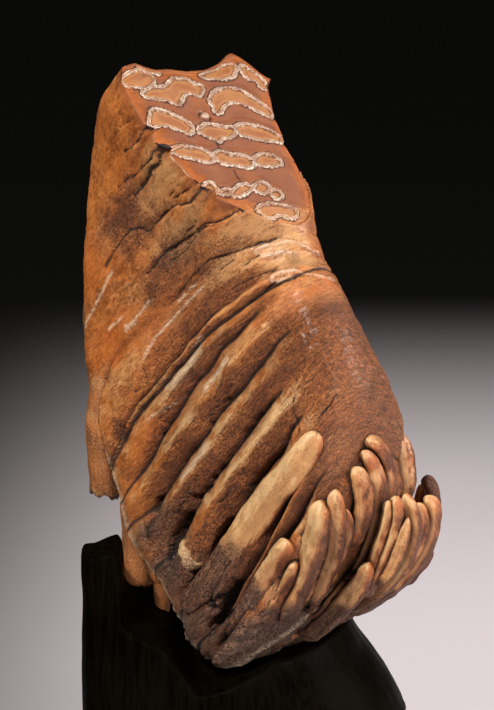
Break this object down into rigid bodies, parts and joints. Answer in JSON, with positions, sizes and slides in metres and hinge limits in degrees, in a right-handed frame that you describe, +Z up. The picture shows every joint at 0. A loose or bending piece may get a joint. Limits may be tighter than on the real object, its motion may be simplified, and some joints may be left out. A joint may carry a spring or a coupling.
{
  "type": "fossil mammoth molar on a stand",
  "caption": "Fossil mammoth molar standing on its rear end in a carved dark wood stand, with a worn chewing facet, ridged sides, free plate tips and broken roots.",
  "frame": {"origin": "on the flat underside of the stand, under its middle", "axes": "+Z up; -Y towards the side the tooth is shown from, +X to its right"},
  "size_m": [0.1801, 0.1738, 0.348],
  "materials": {
    "fossil": "fibrous orange-brown cement over lighter plates, satin where worn",
    "stained_wood": "near-black stain, dull satin"
  },
  "bodies": {
    "root": {"molar": "fossil", "stand": "stained_wood"}
  },
  "joints": []
}
